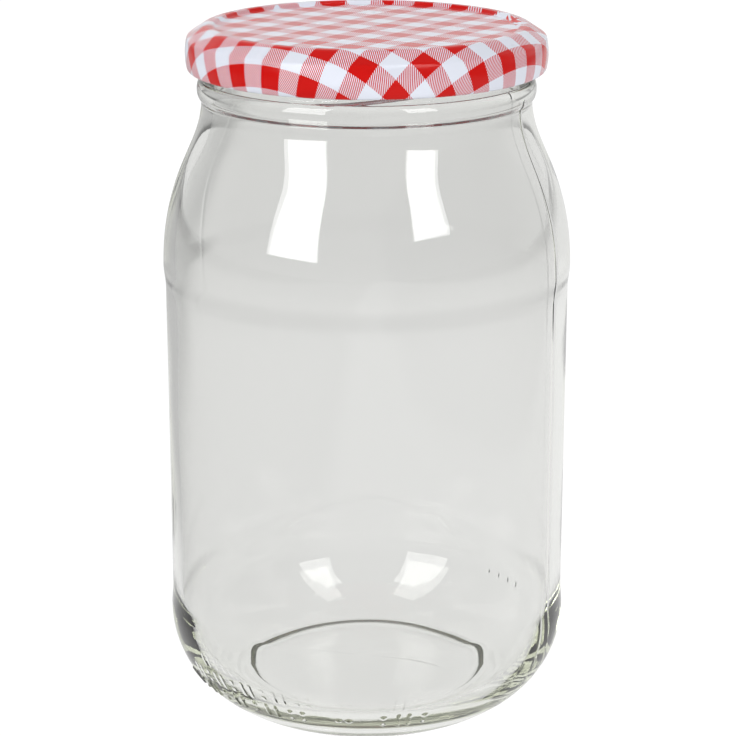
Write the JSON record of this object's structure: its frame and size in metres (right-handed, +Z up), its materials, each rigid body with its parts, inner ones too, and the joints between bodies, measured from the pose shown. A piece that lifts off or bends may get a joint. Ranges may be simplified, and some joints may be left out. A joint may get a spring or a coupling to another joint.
{
  "type": "canning jar",
  "caption": "Tall round clear glass canning jar with a stepped label panel, beaded neck and a checked twist-off steel lid with a sunk panel.",
  "frame": {"origin": "centre of the flat ring that the jar stands on, on the jar's axis", "axes": "+Z up the jar's axis towards the lid; -Y is the side that the picture shows"},
  "size_m": [0.0982, 0.0982, 0.1682],
  "materials": {
    "clear_glass": "clear, slightly grey-green, fire-polished with faint waves and mould seams",
    "printed_steel": "glossy varnished tinplate printed with a red and white gingham check",
    "sealing_compound": "soft satin lining compound"
  },
  "bodies": {
    "root": {"glass_jar": "clear_glass", "lid": "printed_steel", "sealing_ring": "sealing_compound"}
  },
  "joints": []
}
